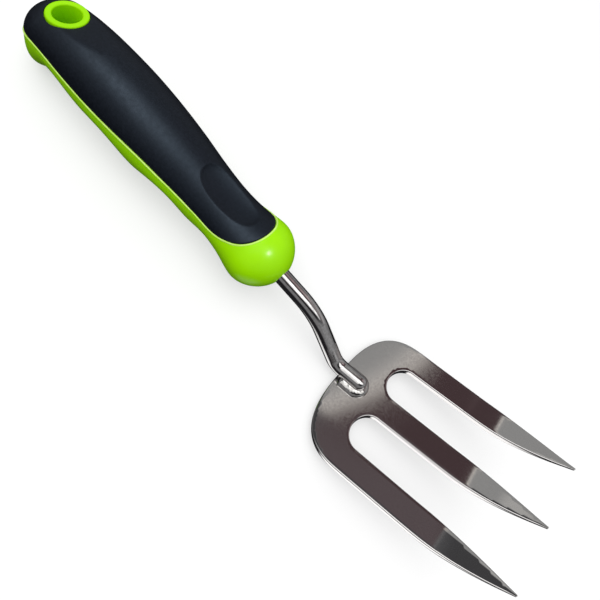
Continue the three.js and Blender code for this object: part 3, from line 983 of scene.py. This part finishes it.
class Sky:
    """The studio that shiny surfaces mirror: soft patches of light by direction, on a dark room."""

    def __init__(self, tree):
        self.tree = tree
        self.way = tree.nodes.new("ShaderNodeTexCoord").outputs["Generated"]
        self.parts = []

    def along(self, axis):
        dot = self.tree.nodes.new("ShaderNodeVectorMath")
        dot.operation = "DOT_PRODUCT"
        self.tree.links.new(self.way, dot.inputs[0])
        dot.inputs[1].default_value = axis
        return dot.outputs["Value"]

    def step(self, value, low, high):
        """0 at `low` and 1 at `high`, with a soft rise between them."""
        rise = self.tree.nodes.new("ShaderNodeMapRange")
        rise.interpolation_type = "SMOOTHSTEP"
        rise.inputs["From Min"].default_value = low
        rise.inputs["From Max"].default_value = high
        self.tree.links.new(value, rise.inputs["Value"])
        return rise.outputs["Result"]

    def times(self, first, second):
        product = self.tree.nodes.new("ShaderNodeMath")
        product.operation = "MULTIPLY"
        self.tree.links.new(first, product.inputs[0])
        self.tree.links.new(second, product.inputs[1])
        return product.outputs["Value"]

    def minus(self, value, amount, weight):
        """The value less the weighted amount."""
        less = self.tree.nodes.new("ShaderNodeMath")
        less.operation = "MULTIPLY_ADD"
        self.tree.links.new(amount, less.inputs[0])
        less.inputs[1].default_value = -weight
        self.tree.links.new(value, less.inputs[2])
        return less.outputs["Value"]

    def patch(self, axis, inner, outer):
        """1 within `inner` degrees of a direction, fading to 0 at `outer` degrees."""
        value = self.along(Vector(axis).normalized())
        return self.step(value, math.cos(math.radians(outer)), math.cos(math.radians(inner)))

    def add(self, amount, colour):
        """Lights the sky in a colour, by an amount that depends on the direction."""
        scale = self.tree.nodes.new("ShaderNodeVectorMath")
        scale.operation = "SCALE"
        scale.inputs[0].default_value = colour
        self.tree.links.new(amount, scale.inputs["Scale"])
        self.parts.append(scale.outputs["Vector"])

    def total(self, base):
        """The sum of all the lights on a base colour."""
        last = None
        for part in self.parts:
            join = self.tree.nodes.new("ShaderNodeVectorMath")
            join.operation = "ADD"
            self.tree.links.new(part, join.inputs[0])
            if last is None:
                join.inputs[1].default_value = base
            else:
                self.tree.links.new(last, join.inputs[1])
            last = join.outputs["Vector"]
        return last


def mix_colour(tree, share, first, second):
    """The first colour where share is 0, and the second, a colour or a socket, where it is 1."""
    mix = tree.nodes.new("ShaderNodeMix")
    mix.data_type = "RGBA"
    colour_a, colour_b = [socket for socket in mix.inputs if socket.type == "RGBA"]
    tree.links.new(share, mix.inputs[0])
    tree.links.new(first, colour_a)
    if isinstance(second, tuple):
        colour_b.default_value = second
    else:
        tree.links.new(second, colour_b)
    return next(socket for socket in mix.outputs if socket.type == "RGBA")


def studio():
    world = bpy.data.worlds.new("studio")
    bpy.context.scene.world = world
    world.use_nodes = True
    tree = world.node_tree
    sky = Sky(tree)
    height = sky.along((0, 0, 1))
    left = sky.along((0, 1, 0))
    # a brown side and a grey side that meet in a light line, behind on the left; it bends to the right
    bend = sky.step(sky.along((0, -1, 0)), *BEND_PLACE)
    across = sky.minus(sky.along(ACROSS_LINE), bend, LINE_BEND)
    above = sky.step(height, *ABOVE_EDGE)
    north = sky.step(left, *NORTH_EDGE)
    lit = sky.step(left, *LIT_EDGE)
    brown = sky.step(across, *BROWN_EDGE)
    grey = sky.step(across, *GREY_EDGE)
    line = sky.times(sky.step(across, *LINE_REAR_EDGE), sky.step(across, *LINE_FRONT_EDGE))
    sky.add(sky.times(sky.times(brown, above), north), BROWN)
    sky.add(sky.times(sky.times(grey, above), lit), GREY)
    sky.add(sky.times(grey, above), FAINT_GREY)
    sky.add(sky.times(sky.times(line, above), lit), WARM_LINE)
    sky.add(sky.times(line, above), FAINT_LINE)
    # a wide light wall all round, low enough to stay out of the head's mirror from the front
    sky.add(sky.times(sky.step(height, *WALL_FOOT), sky.step(height, *WALL_TOP)), WALL_COLOUR)
    for direction, inner, outer, colour in SKY_LIGHTS:
        sky.add(sky.patch(direction, inner, outer), colour)
    # matt surfaces see a plain dome, and the camera a plain backdrop
    dome = Sky(tree)
    dome.add(dome.step(dome.along((0, 0, 1)), *DOME_EDGE), DOME_TOP)
    path = tree.nodes.new("ShaderNodeLightPath")
    soft = mix_colour(tree, path.outputs["Is Diffuse Ray"], sky.total(ROOM_COLOUR), dome.total(DOME_BASE))
    plain = mix_colour(tree, path.outputs["Is Camera Ray"], soft, BACKDROP_COLOUR)
    tree.links.new(plain, tree.nodes["Background"].inputs["Color"])
    area_light("above", (-0.2, -0.3, 1.2), (0, 0, 0), 1.2, 9)
    area_light("crest", (-0.66, -0.42, 1.0), (-0.09, 0, 0.03), 0.45, 3.2, (grip,))
    area_light("nose", (0.32, -0.029, 0.537), (-0.01, -0.005, 0.037), 0.09, 3, (core,))


def camera():
    """Stands above the right side of the handle and looks down on the thumb side."""
    lens = bpy.data.cameras.new("camera")
    lens.sensor_width = SENSOR_WIDTH
    lens.lens = LENS_LENGTH
    lens.clip_start = 0.01
    view = bpy.data.objects.new("camera", lens)
    right = Vector(CAMERA_RIGHT)
    up = Vector(CAMERA_UP)
    turn = Matrix((right, up, right.cross(up))).transposed()
    view.matrix_world = Matrix.Translation(CAMERA_PLACE) @ turn.to_4x4()
    bpy.context.scene.collection.objects.link(view)
    bpy.context.scene.camera = view


floor()
studio()
camera()
bpy.context.scene.view_settings.view_transform = "Standard"

bpy.context.view_layer.update()
